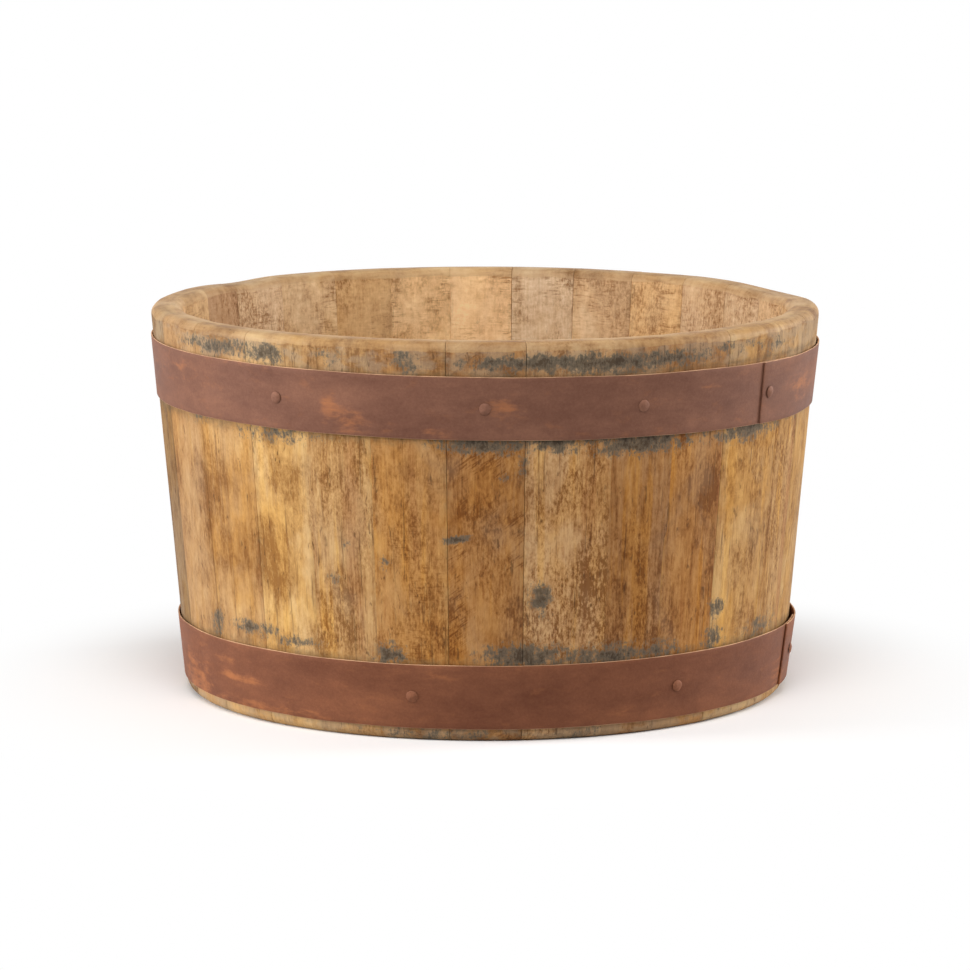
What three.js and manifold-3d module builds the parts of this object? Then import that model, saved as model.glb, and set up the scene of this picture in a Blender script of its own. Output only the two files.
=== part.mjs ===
// A half-barrel planter: tapered staves in a ring, two lapped and nailed steel hoops,
// and a round head of dowelled boards that sits in a groove near the foot.
// Millimetres, +Z up, the origin on the floor at the middle of the tub. -Y is the front.
// Angles are in degrees from the front, positive towards +X.
import * as THREE from 'three';
import { mergeVertices } from 'three/addons/utils/BufferGeometryUtils.js';
import Module from 'manifold-3d';

const wasm = await Module();
wasm.setup();

// ---- Driving dimensions ----

const tubHeight = 346;
const rimRadius = 300; // outer face of the staves, carried up to the rim
const footRadius = 269.5; // outer face of the staves, at the floor

// The staves are boards of random width, measured at the rim and drawn up until the ring closes.
// They are listed anticlockwise as seen from above, from the left end of the front row.
const frontStaves = [73, 73, 62, 63, 67, 68, 78, 60, 59, 73, 61];
const rightStaves = [73, 73, 73];
const backStaves = [66, 64, 65, 66, 66, 65, 65, 67, 69, 64, 66];
const leftStaves = [67, 67, 67];
const firstSeamAngle = -71.1;
const staveThickness = 27;
const staveJointGap = 0.3;

const rimOuterRound = 9;
const rimInnerRound = 8;
const footRound = 7;
const chimeWidth = 9; // bevel inside the foot
const chimeHeight = 14;

const headThickness = 20;
const headHeight = 28; // underside of the head above the floor
const headBoardCount = 4;
const boardJointGap = 0.3;
const crozeDepth = 6; // the groove that the head's rim sits in
const crozeWidth = 8;
const headClearance = 0.4;
const headBevel = 12;

const dowelRadius = 4;
const dowelLength = 40;
const dowelSpacing = 220;
const dowelClearance = 0.3;

const strapThickness = 1.5;
const strapClearance = 0.3;
const lapLength = 46;
const lapRamp = 60; // over this length the strap comes down from the lap on to the wood
const flareSharpness = 4; // the higher, the shorter the stretch that stands off the wood

const upperHoopWidth = 54;
const upperHoopBelowRim = 56.5; // from the rim down to the middle of the strap
const upperHoopSkew = 3.2; // it was driven on this much lower on the right
const upperHoopFlareLeft = 0; // how far its upper edge stands off the wood at the side
const upperHoopFlareRight = 1;
const upperLapAngle = 53.2; // the outer end of the strap
const upperNailAngles = [-36.6, 0, 26.8, 55.2, 104.9, 130.7, 155.5, 180.9, 204.9, 228.1, 254.9];

const lowerHoopWidth = 56;
const lowerHoopAboveFloor = 39;
const lowerHoopSkew = 0.5;
const lowerHoopFlareLeft = 0.7;
const lowerHoopFlareRight = 2.6;
const lowerLapAngle = 73.2;
const lowerNailAngles = [-13, 36.9, 79, 130.7, 180.9, 216.1, 254.9];

const nailHeadRadius = 5.3;
const nailHeadHeight = 2;
const nailHeadEdge = 0.5;
const nailShankRadius = 1.7;
const nailPointLength = 5;
const woodBeyondNail = 6; // left between the nail's point and the inside of the tub
const nailClearance = 0.3;

// ---- Fineness of the curved surfaces ----

const staveFacets = 3; // across one stave
const roundingFacets = 4; // along each round of the rim and the foot
const hoopStep = 5; // degrees
const headFacets = 72;
const roundFacets = 8; // nails and dowels
const domeFacets = 3;

// ---- Finishes ----

const wood = (color) => new THREE.MeshStandardMaterial({ color, roughness: 0.8, metalness: 0 });
const steel = (color) => new THREE.MeshStandardMaterial({ color, roughness: 0.7, metalness: 0.45 });
const staveWoods = ['#c69a66', '#b5854f', '#c08f58', '#a87a4a', '#b98f60'].map(wood);
const headWood = wood('#a98458');
const dowelWood = wood('#d0ac7c');
const rustedSteel = steel('#744f3f');
const nailSteel = steel('#5e4438');

// ---- The shape of the wall ----

const degree = Math.PI / 180;
const taper = Math.atan((rimRadius - footRadius) / tubHeight); // how far the wall leans out
const wallWidth = staveThickness / Math.cos(taper); // measured level

const outerRadiusAt = (z) => footRadius + z * Math.tan(taper);
const innerRadiusAt = (z) => outerRadiusAt(z) - wallWidth;

const around = (angle, radius, z) => new THREE.Vector3(
  radius * Math.sin(angle * degree),
  -radius * Math.cos(angle * degree),
  z,
);

// ---- Making, joining and cutting closed bodies ----

// Sections are lists of points in one order, and the outline is a flat copy of a section
// whose triangles close both ends of the row.
function loft(sections, outline) {
  const count = outline.length;
  const last = (sections.length - 1) * count;
  const faces = [];
  for (let start = 0; start < last; start += count) {
    for (let p = 0; p < count; p++) {
      const here = start + p;
      const next = start + (p + 1) % count;
      faces.push(here, here + count, next, next, here + count, next + count);
    }
  }
  for (const [a, b, c] of THREE.ShapeUtils.triangulateShape(outline, [])) {
    faces.push(a, b, c, last + a, last + c, last + b);
  }
  return new THREE.BufferGeometry().setFromPoints(sections.flat()).setIndex(faces);
}

// The profile runs up the outside, from the axis at the bottom to the axis at the top.
function turned(profile, facets) {
  const points = profile.map(([radius, z]) => new THREE.Vector2(radius, z));
  return new THREE.LatheGeometry(points, facets).rotateX(Math.PI / 2);
}

function toSolid(geometry) {
  const bare = geometry.clone();
  bare.deleteAttribute('normal');
  bare.deleteAttribute('uv');
  const merged = mergeVertices(bare);
  return new wasm.Manifold(new wasm.Mesh({
    numProp: 3,
    vertProperties: merged.getAttribute('position').array,
    triVerts: new Uint32Array(merged.index.array),
  }));
}

function toGeometry(solid) {
  const { vertProperties, triVerts } = solid.getMesh();
  const geometry = new THREE.BufferGeometry();
  geometry.setAttribute('position', new THREE.BufferAttribute(vertProperties, 3));
  geometry.setIndex(new THREE.BufferAttribute(triVerts, 1));
  geometry.computeVertexNormals();
  return geometry;
}

const cut = (solid, holes) => toGeometry(
  holes.reduce((left, hole) => left.subtract(toSolid(hole)), solid),
);

const planter = new THREE.Group();

function addPiece(name, geometry, material, group) {
  const piece = new THREE.Mesh(geometry, material);
  piece.name = name;
  group.add(piece);
  return piece;
}

const numbered = (name, index) => `${name}_${String(index + 1).padStart(2, '0')}`;

// ---- Hoops: their run round the tub ----

const hoopGroup = new THREE.Group();
const facetSpread = 1 / Math.cos(hoopStep / 2 * degree); // keeps the flats clear of the round wood

function makeHoop({ name, width, height, skew, flareLeft, flareRight, lapAngle, nailAngles }) {
  const girth = outerRadiusAt(height) * degree; // length of one degree of strap
  return {
    name,
    width,
    lapAngle,
    nailAngles,
    middleAt: (angle) => height - skew * Math.sin(angle * degree),
    flareAt: (angle) => {
      const side = Math.sin(angle * degree);
      return (side > 0 ? flareRight : flareLeft) * side ** flareSharpness;
    },
    turn: 360 + lapLength / girth,
    lapTurn: lapLength / girth,
    rampTurn: (lapLength + lapRamp) / girth,
  };
}

const hoops = [
  makeHoop({
    name: 'upper',
    width: upperHoopWidth,
    height: tubHeight - upperHoopBelowRim,
    skew: upperHoopSkew,
    flareLeft: upperHoopFlareLeft,
    flareRight: upperHoopFlareRight,
    lapAngle: upperLapAngle,
    nailAngles: upperNailAngles,
  }),
  makeHoop({
    name: 'lower',
    width: lowerHoopWidth,
    height: lowerHoopAboveFloor,
    skew: lowerHoopSkew,
    flareLeft: lowerHoopFlareLeft,
    flareRight: lowerHoopFlareRight,
    lapAngle: lowerLapAngle,
    nailAngles: lowerNailAngles,
  }),
];

// The outer end lies over the inner end along the lap, and then comes down on to the wood.
// At the tub's sides the strap leans out further than the wood, so its upper edge stands off.
// The turn is measured along the strap from its outer end.
function strapInnerRadius(hoop, turn, z) {
  const onWood = (outerRadiusAt(z) + strapClearance) * facetSpread;
  const onStrap = (onWood + strapThickness + strapClearance) * facetSpread;
  const settled = THREE.MathUtils.smoothstep(turn, hoop.lapTurn, hoop.rampTurn);
  const angle = hoop.lapAngle + turn;
  const rise = (z - hoop.middleAt(angle)) / hoop.width + 0.5;
  return THREE.MathUtils.lerp(onStrap, onWood, settled) + hoop.flareAt(angle) * rise;
}

function strap(hoop) {
  const steps = Math.ceil(hoop.turn / hoopStep);
  const sections = [];
  for (let i = 0; i <= steps; i++) {
    const turn = hoop.turn * i / steps;
    const angle = hoop.lapAngle + turn;
    const low = hoop.middleAt(angle) - hoop.width / 2;
    const high = low + hoop.width;
    const lowRadius = strapInnerRadius(hoop, turn, low);
    const highRadius = strapInnerRadius(hoop, turn, high);
    sections.push([
      around(angle, lowRadius, low),
      around(angle, lowRadius + strapThickness, low),
      around(angle, highRadius + strapThickness, high),
      around(angle, highRadius, high),
    ]);
  }
  const outline = [[0, 0], [1, 0], [1, 1], [0, 1]].map(([x, y]) => new THREE.Vector2(x, y));
  return loft(sections, outline);
}

// ---- Nails ----

// A nail stands along +Z, with the underside of its domed head at zero.
const nailLength = strapThickness + staveThickness - woodBeyondNail;

function nailGeometry() {
  const domeHeight = nailHeadHeight - nailHeadEdge;
  const dome = Array.from({ length: domeFacets }, (_, i) => {
    const rise = 90 * i / domeFacets * degree;
    return [nailHeadRadius * Math.cos(rise), nailHeadEdge + domeHeight * Math.sin(rise)];
  });
  return turned([
    [0, -nailLength],
    [nailShankRadius, nailPointLength - nailLength],
    [nailShankRadius, 0],
    [nailHeadRadius, 0],
    ...dome,
    [0, nailHeadHeight],
  ], roundFacets);
}

function nailHole() {
  const depth = nailLength + nailClearance;
  const radius = nailShankRadius + nailClearance;
  return turned([
    [0, -depth],
    [radius, nailPointLength - depth],
    [radius, nailHeadHeight],
    [0, nailHeadHeight],
  ], roundFacets);
}

// Nails are driven square to the leaning strap, until the head is just off it.
function nailPose(hoop, angle) {
  const z = hoop.middleAt(angle);
  const turn = THREE.MathUtils.euclideanModulo(angle - hoop.lapAngle, 360);
  const seat = strapInnerRadius(hoop, turn, z) + strapThickness + nailClearance;
  const lean = taper + Math.atan(hoop.flareAt(angle) / hoop.width);
  const outward = around(angle, Math.cos(lean), -Math.sin(lean));
  return new THREE.Matrix4().compose(
    around(angle, seat, z),
    new THREE.Quaternion().setFromUnitVectors(new THREE.Vector3(0, 0, 1), outward),
    new THREE.Vector3(1, 1, 1),
  );
}

const nailHoles = new Map();
for (const hoop of hoops) {
  nailHoles.set(hoop, hoop.nailAngles.map((angle) => ({
    angle,
    shape: nailHole().applyMatrix4(nailPose(hoop, angle)),
  })));
}

for (const hoop of hoops) {
  const holes = nailHoles.get(hoop).map(({ shape }) => shape);
  addPiece(`${hoop.name}_hoop`, cut(toSolid(strap(hoop)), holes), rustedSteel, hoopGroup);
  hoop.nailAngles.forEach((angle, index) => {
    const nail = addPiece(
      numbered(`${hoop.name}_nail`, index),
      nailGeometry(),
      nailSteel,
      hoopGroup,
    );
    nail.applyMatrix4(nailPose(hoop, angle));
  });
}
planter.add(hoopGroup);

// ---- Staves ----

const crozeMiddle = headHeight + headThickness / 2;
const crozeRadius = innerRadiusAt(crozeMiddle) + crozeDepth;

// The wall's section, anticlockwise from the inner edge of the foot.
// The inner face of each board stays flat from edge to edge, as it came from the saw.
function wallSection() {
  const points = [];
  const add = (radius, z, flat) => points.push({ radius, z, flat });
  const round = (centreRadius, centreZ, size, from, to, flat) => {
    for (let i = 0; i <= roundingFacets; i++) {
      const turn = from + (to - from) * i / roundingFacets;
      add(centreRadius + size * Math.cos(turn), centreZ + size * Math.sin(turn), flat);
    }
  };
  add(innerRadiusAt(0) + chimeWidth, 0, true);
  const footCentre = outerRadiusAt(footRound) - footRound / Math.cos(taper);
  round(footCentre, footRound, footRound, -Math.PI / 2, -taper, false);
  const outerTop = tubHeight - rimOuterRound;
  const outerCentre = outerRadiusAt(outerTop) - rimOuterRound / Math.cos(taper);
  round(outerCentre, outerTop, rimOuterRound, -taper, Math.PI / 2, false);
  const innerTop = tubHeight - rimInnerRound;
  const innerCentre = innerRadiusAt(innerTop) + rimInnerRound / Math.cos(taper);
  round(innerCentre, innerTop, rimInnerRound, Math.PI / 2, Math.PI - taper, true);
  const crozeTop = crozeMiddle + crozeWidth / 2;
  const crozeBottom = crozeMiddle - crozeWidth / 2;
  add(innerRadiusAt(crozeTop), crozeTop, true);
  add(crozeRadius, crozeTop, false);
  add(crozeRadius, crozeBottom, false);
  add(innerRadiusAt(crozeBottom), crozeBottom, true);
  add(innerRadiusAt(chimeHeight), chimeHeight, true);
  return points;
}

// Each joint face stands half a gap from the seam, in line with the middle of the tub.
function staveGeometry(section, from, to) {
  const middle = (from + to) / 2;
  const sections = [];
  for (let i = 0; i <= staveFacets; i++) {
    const share = 2 * i / staveFacets - 1;
    sections.push(section.map(({ radius, z, flat }) => {
      const edge = (to - from) / 2 - Math.asin(staveJointGap / 2 / radius) / degree;
      const turn = share * edge;
      const flattened = flat ? Math.cos(edge * degree) / Math.cos(turn * degree) : 1;
      return around(middle + turn, radius * flattened, z);
    }));
  }
  return loft(sections, section.map(({ radius, z }) => new THREE.Vector2(radius, z)));
}

const staveGroup = new THREE.Group();
const staveWidths = [...frontStaves, ...rightStaves, ...backStaves, ...leftStaves];
const ringWidth = staveWidths.reduce((sum, width) => sum + width, 0);
const section = wallSection();
const holeReach = 2 * nailShankRadius / footRadius / degree;
let seamAngle = firstSeamAngle;
staveWidths.forEach((width, index) => {
  const from = seamAngle;
  const to = from + 360 * width / ringWidth;
  const holes = [...nailHoles.values()].flat().filter(({ angle }) => {
    const away = THREE.MathUtils.euclideanModulo(angle - (from + to) / 2 + 180, 360) - 180;
    return Math.abs(away) < (to - from) / 2 + holeReach;
  });
  const board = toSolid(staveGeometry(section, from, to));
  addPiece(
    numbered('stave', index),
    cut(board, holes.map(({ shape }) => shape)),
    staveWoods[index % staveWoods.length],
    staveGroup,
  );
  seamAngle = to;
});
planter.add(staveGroup);

// ---- Head ----

const headGroup = new THREE.Group();
const headRadius = crozeRadius - headClearance;
const boardWidth = 2 * headRadius / headBoardCount;
const jointPlace = (joint) => (joint - headBoardCount / 2) * boardWidth;

// The rim is thinned to a tongue that fits the croze. It reaches in past the flat middle of the
// widest stave, and from there bevels carry it up and down to the full thickness.
function headDisc() {
  const widestStave = 360 * Math.max(...staveWidths) / ringWidth;
  const narrowest = innerRadiusAt(headHeight) * Math.cos(widestStave / 2 * degree);
  const tongueRadius = narrowest - headClearance;
  const tongueHalf = crozeWidth / 2 - headClearance;
  return turned([
    [0, headHeight],
    [tongueRadius - headBevel, headHeight],
    [tongueRadius, crozeMiddle - tongueHalf],
    [headRadius, crozeMiddle - tongueHalf],
    [headRadius, crozeMiddle + tongueHalf],
    [tongueRadius, crozeMiddle + tongueHalf],
    [tongueRadius - headBevel, headHeight + headThickness],
    [0, headHeight + headThickness],
  ], headFacets);
}

const dowelPlaces = [];
for (let joint = 1; joint < headBoardCount; joint++) {
  for (const side of [-1, 1]) {
    dowelPlaces.push(new THREE.Vector3(jointPlace(joint), side * dowelSpacing / 2, crozeMiddle));
  }
}

const dowelGeometry = (clearance) => new THREE.CylinderGeometry(
  dowelRadius + clearance,
  dowelRadius + clearance,
  dowelLength + 2 * clearance,
  roundFacets,
).rotateZ(Math.PI / 2);

const disc = toSolid(headDisc());
const dowelHoles = dowelPlaces.map((place) => (
  dowelGeometry(dowelClearance).translate(...place.toArray())
));
for (let index = 0; index < headBoardCount; index++) {
  const atLeft = index === 0;
  const atRight = index === headBoardCount - 1;
  const left = jointPlace(index) + (atLeft ? -boardWidth : boardJointGap / 2);
  const right = jointPlace(index + 1) + (atRight ? boardWidth : -boardJointGap / 2);
  const plank = new THREE.BoxGeometry(right - left, 3 * headRadius, 3 * headThickness)
    .translate((left + right) / 2, 0, crozeMiddle);
  const board = disc.intersect(toSolid(plank));
  addPiece(`head_board_${index + 1}`, cut(board, dowelHoles), headWood, headGroup);
}
dowelPlaces.forEach((place, index) => {
  const dowel = addPiece(`head_dowel_${index + 1}`, dowelGeometry(0), dowelWood, headGroup);
  dowel.position.copy(place);
});
planter.add(headGroup);

export default planter;
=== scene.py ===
# A wooden barrel planter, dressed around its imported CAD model.
# Metres, +Z up, the origin on the floor under the middle of the tub. -Y is the front.
import itertools
import math
import random

import bmesh
import bpy
from mathutils import Euler, Matrix, Vector, noise


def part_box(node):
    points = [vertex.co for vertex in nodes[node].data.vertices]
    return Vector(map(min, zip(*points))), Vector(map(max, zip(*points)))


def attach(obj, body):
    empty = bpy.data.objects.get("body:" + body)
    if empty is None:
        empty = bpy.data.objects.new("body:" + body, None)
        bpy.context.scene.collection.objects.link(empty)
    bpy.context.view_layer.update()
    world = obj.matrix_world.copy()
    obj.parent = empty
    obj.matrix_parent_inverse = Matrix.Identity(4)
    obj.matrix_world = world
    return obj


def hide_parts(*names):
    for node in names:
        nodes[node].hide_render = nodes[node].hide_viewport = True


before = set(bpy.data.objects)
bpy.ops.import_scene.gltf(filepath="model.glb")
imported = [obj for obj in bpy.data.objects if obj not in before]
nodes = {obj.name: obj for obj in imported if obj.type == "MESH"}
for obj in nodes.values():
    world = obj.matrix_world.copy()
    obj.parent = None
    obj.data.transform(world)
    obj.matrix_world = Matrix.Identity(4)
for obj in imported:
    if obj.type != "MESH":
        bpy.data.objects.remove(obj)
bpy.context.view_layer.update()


# ---- Staves ----
# Twenty-eight tapered boards of reclaimed hardwood, flat inside and rounded outside, stand edge to
# edge in a ring. A groove near the foot holds the head, and the rim was sanded round once the
# hoops were on. Old strap left iron stains, and the saw left fine marks across the boards.
TUB_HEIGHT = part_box("stave_01")[1].z
RIM_RADIUS = 0.300
FOOT_RADIUS = 0.2695
STAVE_THICKNESS = 0.027
JOINT_GAP = 0.0001
RIM_OUTER_ROUND = 0.009
RIM_INNER_ROUND = 0.008
FOOT_ROUND = 0.007
ROUND_SEGMENTS = 6
CHIME_WIDTH = 0.009  # the bevel inside the foot
CHIME_HEIGHT = 0.014
CROZE_FLOOR = 0.034
CROZE_WIDTH = 0.008
CROZE_DEPTH = 0.006
ARRIS = 0.0002  # how far the long edges are eased
ARRIS_LOOP = 0.0015
BOARD_GRID = 0.0032  # the spacing of the cuts that let a board bend and wear
CORNER_ANGLE = 1.0  # an edge that turns by more than this, in radians, is a corner
TINY = 1e-6
WEAR_DEPTH = 0.0004
WEAR_SCALE = (60, 11)  # worn hollows per metre across and along a board
STAVE_STEP = 0.0004  # how far one stave may stand below the next
RIM_WAVE = 0.0003
RIM_WAVE_SCALE = 2.3
RIM_WAVE_PLACE = 4.2
DIP_SHARPNESS = 8  # a dip in the rim dies away downwards by this power of the height
EDGE_REACH = 0.006  # how far from a seam dirt settles
GRAIN_SPREAD = 20  # how far apart in the tree, in metres, two boards may be cut

TAPER = math.atan((RIM_RADIUS - FOOT_RADIUS) / TUB_HEIGHT)
WALL_WIDTH = STAVE_THICKNESS / math.cos(TAPER)


def outer_radius(z):
    return FOOT_RADIUS + z * math.tan(TAPER)


def turn_of(point):
    """The angle of a point about the tub, from the front and positive towards +X."""
    return math.atan2(point.x, -point.y)


def around(turn, radius, z):
    return Vector((radius * math.sin(turn), -radius * math.cos(turn), z))


def wrapped(turn):
    return (turn + math.pi) % math.tau - math.pi


def stave_span(node):
    """Where a stave lies in the ring: its middle, and half its width, as angles."""
    points = [vertex.co for vertex in nodes[node].data.vertices]
    middle = turn_of(sum(points, Vector()))
    half = max(abs(wrapped(turn_of(point) - middle)) for point in points)
    return middle, half


def everything(bm):
    return bm.verts[:] + bm.edges[:] + bm.faces[:]


def cut_across(bm, axis, places):
    normal = Vector((0, 0, 0))
    normal[axis] = 1
    for place in places:
        bmesh.ops.bisect_plane(bm, geom=everything(bm), plane_co=normal * place, plane_no=normal)


def steps(low, high, step):
    count = max(1, round((high - low) / step))
    return [low + (high - low) * i / count for i in range(1, count)]


def round_edges(bm, edges, size, segments):
    bmesh.ops.bevel(bm, geom=edges, offset=size, offset_type="OFFSET", segments=segments,
                    profile=0.5, affect="EDGES", material=-1, clamp_overlap=True)


def saw_board(width):
    """A straight board: x across, y from the inside to the outside, z up from the foot."""
    bm = bmesh.new()
    size = Matrix.Diagonal((width, STAVE_THICKNESS, TUB_HEIGHT, 1))
    bmesh.ops.create_cube(bm, size=1, matrix=size @ Matrix.Translation((0, 0.5, 0.5)))

    def long_edge(y, z):
        return [edge for edge in bm.edges if all(
            abs(v.co.z - z) < TINY and abs(v.co.y - y) < TINY for v in edge.verts)]

    round_edges(bm, long_edge(STAVE_THICKNESS, TUB_HEIGHT), RIM_OUTER_ROUND, ROUND_SEGMENTS)
    round_edges(bm, long_edge(0, TUB_HEIGHT), RIM_INNER_ROUND, ROUND_SEGMENTS)
    round_edges(bm, long_edge(STAVE_THICKNESS, 0), FOOT_ROUND, ROUND_SEGMENTS)
    chime = Vector((0, CHIME_HEIGHT, CHIME_WIDTH)).normalized()
    cut = bmesh.ops.bisect_plane(bm, geom=everything(bm), plane_co=(0, 0, CHIME_HEIGHT),
                                 plane_no=chime, clear_inner=True)
    rim = [edge for edge in cut["geom_cut"] if isinstance(edge, bmesh.types.BMEdge)]
    bmesh.ops.edgenet_fill(bm, edges=rim)
    half = width / 2
    outline = [edge for edge in bm.edges if all(abs(abs(v.co.x) - half) < TINY for v in edge.verts)
               and edge.calc_face_angle(0) > CORNER_ANGLE]
    round_edges(bm, outline, ARRIS, 2)
    cut_across(bm, 0, [-half + ARRIS_LOOP, half - ARRIS_LOOP])
    cut_across(bm, 0, steps(-half + ARRIS_LOOP, half - ARRIS_LOOP, BOARD_GRID))
    cut_across(bm, 2, [CROZE_FLOOR, CROZE_FLOOR + CROZE_WIDTH])
    cut_across(bm, 2, steps(0, CROZE_FLOOR, BOARD_GRID))
    cut_across(bm, 2, steps(CROZE_FLOOR + CROZE_WIDTH, TUB_HEIGHT - RIM_OUTER_ROUND, BOARD_GRID))
    bm.normal_update()
    groove = [face for face in bm.faces if face.normal.y < -0.9
              and CROZE_FLOOR < face.calc_center_median().z < CROZE_FLOOR + CROZE_WIDTH]
    deeper = bmesh.ops.extrude_face_region(bm, geom=groove)["geom"]
    sunk = [v for v in deeper if isinstance(v, bmesh.types.BMVert)]
    bmesh.ops.translate(bm, verts=sunk, vec=(0, CROZE_DEPTH, 0))
    bmesh.ops.delete(bm, geom=groove, context="FACES_ONLY")
    bmesh.ops.recalc_face_normals(bm, faces=bm.faces[:])
    return bm


# Where the rim has worn lower: the middle and reach in degrees, and how far in metres.
CROWN_DIPS = [(112, 15, 0.0036), (-126, 7, 0.002), (150, 12, 0.0006), (30, 20, 0.0007)]


def crown_dip(turn):
    """The rim rises and falls a little round the tub."""
    place = Vector((math.cos(turn), math.sin(turn), RIM_WAVE_PLACE))
    dip = RIM_WAVE + RIM_WAVE * noise.noise(place * RIM_WAVE_SCALE)
    for angle, reach, depth in CROWN_DIPS:
        away = math.degrees(wrapped(turn - math.radians(angle))) / reach
        dip += depth * math.exp(-away * away)
    return dip


# Iron stains on the outside: the middle and reach in degrees, the height and reach in millimetres,
# and how black. Most lie along the rim and beside the hoops, where wet strap has rested.
STAINS = [
    (8, 10, 328, 6, 0.95), (20, 12, 327, 7, 1.0), (32, 8, 328, 6, 0.85), (-50, 8, 330, 7, 0.85),
    (-39, 4, 329, 8, 0.85), (-26, 3, 331, 7, 0.5), (-13, 2, 328, 9, 0.6), (45, 6, 332, 6, 0.5),
    (57, 6, 328, 7, 0.45), (-38, 8, 260, 7, 0.6), (0, 7, 259, 7, 0.9), (12, 6, 260, 7, 0.9),
    (27, 8, 257, 9, 1.0), (50.5, 8, 257, 8, 0.9), (-57, 3, 263, 4, 0.5), (68, 4, 258, 5, 0.4),
    (-57.5, 1.6, 82, 10, 0.8), (-46.5, 5, 84, 5, 0.8), (-36.5, 6, 78, 4, 0.7),
    (-17.3, 2.6, 75, 8, 1.0), (7, 6, 75, 9, 1.0), (23, 7, 73, 8, 0.9), (32, 5, 73, 7, 0.7),
    (45.7, 2.5, 76, 9, 0.8), (62, 6, 76, 9, 0.6), (45.7, 1.6, 103, 7, 0.9),
    (-4.8, 2.2, 176.7, 3, 1.0), (9.6, 1.5, 126.5, 11, 1.0), (6.3, 0.8, 240, 8, 0.7),
    (3.4, 0.9, 230, 5, 0.7), (-17.5, 0.9, 154, 6, 0.7), (-24.5, 0.8, 172, 6, 0.5),
    (-27, 1.0, 138, 5, 0.6), (-9, 13, 5, 14, 0.45), (17, 4, 5, 11, 0.55), (110, 9, 326, 7, 0.8),
    (146, 14, 327, 7, 0.9), (-150, 10, 326, 7, 0.7), (-105, 12, 328, 6, 0.8),
    (98, 7, 258, 7, 0.8), (128, 10, 259, 7, 0.9), (170, 8, 258, 7, 0.8), (-130, 9, 260, 7, 0.9),
    (-95, 6, 260, 6, 0.7), (95, 6, 75, 8, 0.9), (120, 10, 74, 7, 0.8), (155, 6, 77, 9, 0.9),
    (-165, 12, 75, 7, 0.8), (-120, 7, 77, 8, 0.9), (-88, 6, 76, 7, 0.8), (140, 2, 170, 10, 0.8),
    (-140, 1.5, 200, 12, 0.8),
]

# Wear and weather in the same terms: a share below zero is darker than the board, above it paler.
WEATHER = [
    (-53, 6, 205, 26, -0.9), (-51, 6, 143, 24, -0.8), (-41, 6, 140, 30, -0.5),
    (-47, 9, 242, 14, 0.8), (-37, 6, 98, 16, 0.8), (-27, 6, 190, 30, 0.3),
    (-27, 5, 110, 35, -0.3), (-13, 5, 240, 20, -0.3), (-10, 4, 140, 20, 0.4),
    (0.5, 7, 215, 30, -0.6), (0, 5, 168, 10, 0.3), (3, 4, 85, 15, -0.6), (10, 4, 244, 9, 0.5),
    (15, 7, 214, 20, -0.6), (10, 4, 160, 35, 0.7), (18, 4, 135, 35, -0.6), (27, 7, 190, 80, -0.1),
    (28, 5, 105, 32, -0.2), (36, 4, 244, 12, 0.6), (42, 4, 200, 30, -0.9), (41, 4, 115, 25, -0.3),
    (35, 1.6, 140, 24, 0.6), (50, 6, 170, 70, 0.4), (62, 3.5, 180, 60, -0.5),
    (41, 3, 205, 14, -0.5), (52, 2, 200, 40, -0.5), (56, 2, 120, 30, -0.5), (48, 3, 230, 12, 0.5),
    (25, 5, 6, 14, 0.5), (36, 7, 6, 14, 0.8), (50, 8, 6, 14, 0.8), (65, 9, 6, 14, 0.8),
    (-48, 10, 6, 14, 0.7), (-62, 9, 6, 14, 0.6), (-65, 5, 235, 18, 0.4), (-66, 4, 130, 50, 0.2),
    (-30, 4, 324, 6, -0.5), (-18, 5, 327, 8, -0.6), (-6, 4, 327, 7, -0.6), (5, 3, 336, 4, 0.6),
    (18, 4, 336, 4, 0.7), (62, 5, 326, 7, 0.5), (-64, 6, 328, 6, 0.5), (-44, 4, 322, 4, 0.6),
    (40, 5, 326, 7, -0.4), (100, 6, 200, 50, -0.5), (125, 6, 130, 40, 0.5),
    (150, 7, 210, 40, -0.5), (175, 6, 120, 45, -0.4), (-160, 6, 200, 40, 0.5),
    (-135, 7, 130, 40, -0.5), (-110, 5, 220, 35, -0.5), (-90, 6, 120, 40, 0.4),
]

PATCH_FADE = 2  # a patch ends at this many times its reach

# Dirt and painted shade darken the wood along the hoops' edges, where the strap shades it: each
# height, and how far the darkening reaches from it.
GRIME_AND_SHADE_LINES = [(0.263, 0.016), (0.068, 0.013), (0.3175, 0.010)]


def patches_near(patches, middle, half):
    def within_reach(patch):
        angle, half_width = math.radians(patch[0]), math.radians(patch[1])
        return abs(wrapped(angle - middle)) < half + half_width * PATCH_FADE

    return [patch for patch in patches if within_reach(patch)]


def patch_falls(patches, turn, z):
    """How much of each patch falls on a place, from its full strength at its middle."""
    for angle, half_width, height, half_height, strength in patches:
        across = math.degrees(wrapped(turn - math.radians(angle))) / half_width
        up = (z * 1000 - height) / half_height
        away = math.hypot(across, up)
        if away < PATCH_FADE:
            yield strength * (1 - away / PATCH_FADE)


def grime_and_shade_at(z):
    return max(max(0, 1 - abs(z - height) / reach) for height, reach in GRIME_AND_SHADE_LINES)


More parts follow.
